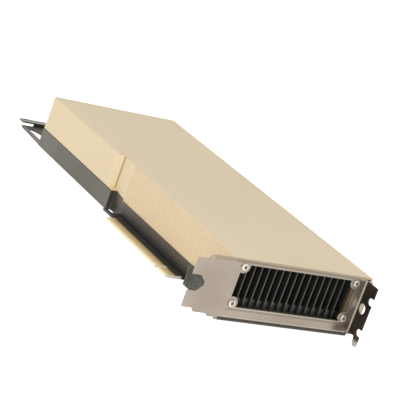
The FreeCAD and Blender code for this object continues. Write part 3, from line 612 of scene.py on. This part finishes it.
rowTree = makeRowTree()
placedTree = makePlacedTree()


def runTree(item, tree, values):
    # sets the tree's inputs by identifier and turns the result into a plain mesh
    modifier = item.modifiers.new("build", "NODES")
    modifier.node_group = tree
    for socket in tree.interface.items_tree:
        if socket.in_out == "INPUT" and socket.name in values:
            modifier[socket.identifier] = values[socket.name]
    graph = bpy.context.evaluated_depsgraph_get()
    graph.update()
    mesh = bpy.data.meshes.new_from_object(item.evaluated_get(graph), depsgraph=graph)
    item.modifiers.remove(modifier)
    item.data = mesh
    for face in mesh.polygons:
        face.use_smooth = True
    mesh.set_sharp_from_angle(angle=math.radians(sharpOver))


def plateMesh(name, outline, axis, low, high, edge):
    # a flat outline raised along an axis, with its edges rounded; all in card millimetres
    shape = bmesh.new()
    order = {"x": (1, 2, 0), "y": (0, 2, 1), "z": (0, 1, 2)}[axis]
    rings = []
    for level in (low, high):
        ring = []
        for a, b in outline:
            at = [0, 0, 0]
            at[order[0]], at[order[1]], at[order[2]] = a, b, level
            ring.append(shape.verts.new(placeOf(*at)))
        rings.append(ring)
    shape.faces.new(rings[0])
    shape.faces.new(rings[1][::-1])
    count = len(outline)
    for i in range(count):
        j = (i + 1) % count
        shape.faces.new((rings[0][i], rings[0][j], rings[1][j], rings[1][i]))
    bmesh.ops.recalc_face_normals(shape, faces=shape.faces)
    bmesh.ops.bevel(shape, geom=list(shape.edges), offset=edge * mm, segments=2, profile=0.5,
                    affect="EDGES")
    mesh = bpy.data.meshes.new(name)
    shape.to_mesh(mesh)
    shape.free()
    return mesh


def turnedMesh(name, rings, sides, innerFrom):
    # rings of (radius, height, lobes) around x; faces from ring innerFrom on are marked as inner
    shape = bmesh.new()
    mark = shape.faces.layers.float.new("inner")
    loops = []
    for radius, height, lobes in rings:
        loop = []
        for i in range(sides):
            turn = 2 * math.pi * i / sides
            r = radius * (1 + lobes * math.cos(6 * turn))
            loop.append(shape.verts.new(Vector((height, r * math.cos(turn), r * math.sin(turn))) * mm))
        loops.append(loop)
    shape.faces.new(loops[0])
    shape.faces.new(loops[-1][::-1])[mark] = 1.0
    for k in range(len(loops) - 1):
        for i in range(sides):
            j = (i + 1) % sides
            face = shape.faces.new((loops[k][i], loops[k][j], loops[k + 1][j], loops[k + 1][i]))
            face[mark] = float(k >= innerFrom)
    bmesh.ops.recalc_face_normals(shape, faces=shape.faces)
    mesh = bpy.data.meshes.new(name)
    shape.to_mesh(mesh)
    shape.free()
    return mesh


# Fins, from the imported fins' ends and the base they stand on

fins = dict(count=16, thickness=0.6, edge=0.12)


def makeFins(values):
    baseLow, baseHigh = boxOf("heat_sink_base")
    front, last, foot = finLow
    end, first, top = finHigh
    thickness = values["thickness"]
    pitch = (first - last - thickness) / (values["count"] - 1)
    outline = [(front, foot), (baseLow[0], foot), (baseLow[0], baseHigh[2]),
               (end, baseHigh[2]), (end, top), (front, top)]
    item = newObject("fins", plateMesh("fin", outline, "y", first - thickness, first, values["edge"]))
    runTree(item, rowTree, {"Count": values["count"], "Pitch": (0, -pitch * mm, 0),
                            "Look": looks["finBlack"], "Inner Look": looks["finBlack"]})
    finishPiece(item, "heat_sink_fins")


makeFins(fins)
print("fins made")


# Edge contacts, one row on each side of the board

contactPads = dict(count=82, breakAfter=11, pitch=1.0, width=0.7, corner=0.12, edge=0.015,
                   nodes=("contacts_component_side", "contacts_solder_side"))


def makeContacts(node, values):
    (left, near, bottom), (end, far, top) = boxOf(node)
    right = left + values["width"]
    corner = values["corner"]
    breakGap = end - right - (values["count"] - 1) * values["pitch"]
    outline = [(left, near + corner), (left + corner, near), (right - corner, near),
               (right, near + corner), (right, far - corner), (right - corner, far),
               (left + corner, far), (left, far - corner)]
    item = newObject(node + ".pads", plateMesh("pad", outline, "z", bottom, top, values["edge"]))
    runTree(item, rowTree, {"Count": values["count"], "Pitch": (values["pitch"] * mm, 0, 0),
                            "Break After": values["breakAfter"], "Break Gap": (breakGap * mm, 0, 0),
                            "Look": looks["contactGold"], "Inner Look": looks["contactGold"]})
    finishPiece(item, node)


for node in contactPads["nodes"]:
    makeContacts(node, contactPads)
print("contacts made")


# Screws, one shape on the place of each packed screw

def sunkScrew(tip):
    # rings of (radius, level, lobes) for a flat head flush with the back plate
    return [(0.9, tip, 0), (1.22, tip - 0.4, 0), (1.22, 3.02, 0), (2.42, 1.9, 0), (2.38, 1.82, 0),
            (1.1, 1.81, 0), (0.98, 1.9, 0.06), (0.9, 2.5, 0.08), (0.2, 2.56, 0)]


screwLooks = {
    "bracket_screws": dict(
        slot="bright_screw", look="brightScrew", sides=36, innerFrom=9, axis="x",
        rings=[(0.9, 3.35, 0), (1.22, 3.05, 0), (1.22, 0.36, 0), (2.24, 0.36, 0), (2.24, -0.25, 0),
               (2.12, -0.55, 0), (1.88, -0.78, 0), (1.6, -0.88, 0), (1.2, -0.9, 0), (1.1, -0.85, 0.08),
               (1.02, -0.35, 0.1), (0.42, -0.25, 0), (0.34, -0.62, 0)]),
    "back_plate_screws": dict(slot="black_steel", look="blackSteel", sides=36, innerFrom=6, axis="z",
                              rings=sunkScrew(12.5)),
    "extender_screws": dict(slot="black_steel", look="blackSteel", sides=36, innerFrom=6, axis="z",
                            rings=sunkScrew(8.0)),
}


def solidMiddles(node):
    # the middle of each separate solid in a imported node
    shape = bmesh.new()
    shape.from_mesh(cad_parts[node].data)
    bmesh.ops.remove_doubles(shape, verts=shape.verts, dist=softening["mergeWithin"] * mm)
    middles = []
    seen = set()
    for first in shape.verts:
        if first in seen:
            continue
        seen.add(first)
        solid = [first]
        for vert in solid:
            for edge in vert.link_edges:
                other = edge.other_vert(vert)
                if other not in seen:
                    seen.add(other)
                    solid.append(other)
        ends = [pick(v.co[k] for v in solid) for pick in (min, max) for k in range(3)]
        middles.append((Vector(ends[:3]) + Vector(ends[3:])) / 2)
    shape.free()
    return middles


def makeScrews(node, values):
    shape = turnedMesh(node + ".shape", values["rings"], values["sides"], values["innerFrom"])
    if values["axis"] == "z":
        shape.transform(Matrix.Rotation(math.radians(-90), 4, "Y"))
    template = newObject(node + ".template", shape)
    places = solidMiddles(node)
    for place in places:
        place[axes.index(values["axis"])] = levelOf(values["axis"], 0)
    points = bpy.data.meshes.new(node + ".places")
    points.from_pydata(places, [], [])
    item = newObject(node + ".screws", points)
    runTree(item, placedTree, {"Template": template, "Size": 1.0, "Look": looks[values["look"]],
                               "Inner Look": looks["screwSocket"]})
    bpy.data.objects.remove(template)
    finishPiece(item, node)
    print(node, "set on", len(places), "places")


for node, values in screwLooks.items():
    makeScrews(node, values)


# Camera: metres from the frame's origin, with its roll in degrees about the line of sight

camera = dict(place=(-0.79254, 0.53079, 0.302535), target=(0.003856, -0.016134, 0.044412),
              roll=19.89, lens=152.18, sensor=36)


def makeCamera(values):
    data = bpy.data.cameras.new("viewCamera")
    data.lens = values["lens"]
    data.sensor_width = values["sensor"]
    data.clip_start = 0.05
    data.clip_end = 20
    eye = newObject("viewCamera", data)
    place = Vector(values["place"])
    level = (place - Vector(values["target"])).to_track_quat("Z", "Y")
    turn = level @ Quaternion((0, 0, 1), math.radians(values["roll"]))
    eye.matrix_world = Matrix.Translation(place) @ turn.to_matrix().to_4x4()
    bpy.context.scene.camera = eye


makeCamera(camera)


# Floor, world and lamp

studio = dict(floorReach=6.0, worldStrength=0.75,
              keyPower=6.0, keyPlace=(-0.2, 0.9, 1.3), keySize=1.0)


def addSeenFactor(tree):
    # one for what the camera and mirrors see, nought for the rays that only light the card
    rays = addNode(tree, "ShaderNodeLightPath", -500, 300)
    seen = addNode(tree, "ShaderNodeMath", -300, 300, operation="MAXIMUM")
    wire(tree, rays.outputs["Is Camera Ray"], seen.inputs[0])
    wire(tree, rays.outputs["Is Glossy Ray"], seen.inputs[1])
    return seen.outputs["Value"]


def makeFloor(values):
    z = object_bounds()[0].z
    reach = values["floorReach"]
    corners = [(-reach, -reach, z), (reach, -reach, z), (reach, reach, z), (-reach, reach, z)]
    mesh = bpy.data.meshes.new("studioFloor")
    mesh.from_pydata(corners, [], [(0, 1, 2, 3)])
    material, tree, shader = newMaterial("floorPaint", specular=0.0)
    shader.inputs["Base Color"].default_value = (0.9, 0.9, 0.9, 1)
    shader.inputs["Roughness"].default_value = 0.9
    shader.inputs["Emission Color"].default_value = (1, 1, 1, 1)
    wire(tree, addSeenFactor(tree), shader.inputs["Emission Strength"])
    mesh.materials.append(material)
    newObject("studioFloor", mesh)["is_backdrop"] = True


def makeWorld(values):
    world = bpy.data.worlds.new("studioWorld")
    world.use_nodes = True
    bpy.context.scene.world = world
    tree = world.node_tree
    back = tree.nodes["Background"]
    back.inputs["Color"].default_value = (1, 1, 1, 1)
    strength = addNode(tree, "ShaderNodeMapRange", -100, 300)
    strength.inputs["To Min"].default_value = values["worldStrength"]
    strength.inputs["To Max"].default_value = 1
    wire(tree, addSeenFactor(tree), strength.inputs["Value"])
    wire(tree, strength.outputs["Result"], back.inputs["Strength"])


def makeKeyLamp(values):
    data = bpy.data.lights.new("keyLamp", "AREA")
    data.shape = "DISK"
    data.size = values["keySize"]
    data.energy = values["keyPower"]
    lamp = newObject("keyLamp", data)
    lamp.location = values["keyPlace"]
    lamp.rotation_mode = "QUATERNION"
    lamp.rotation_quaternion = lamp.location.to_track_quat("Z", "Y")


makeFloor(studio)
makeWorld(studio)
makeKeyLamp(studio)
bpy.context.scene.view_settings.view_transform = "Standard"
print("studio ready")

saveBox("visual", sizes)
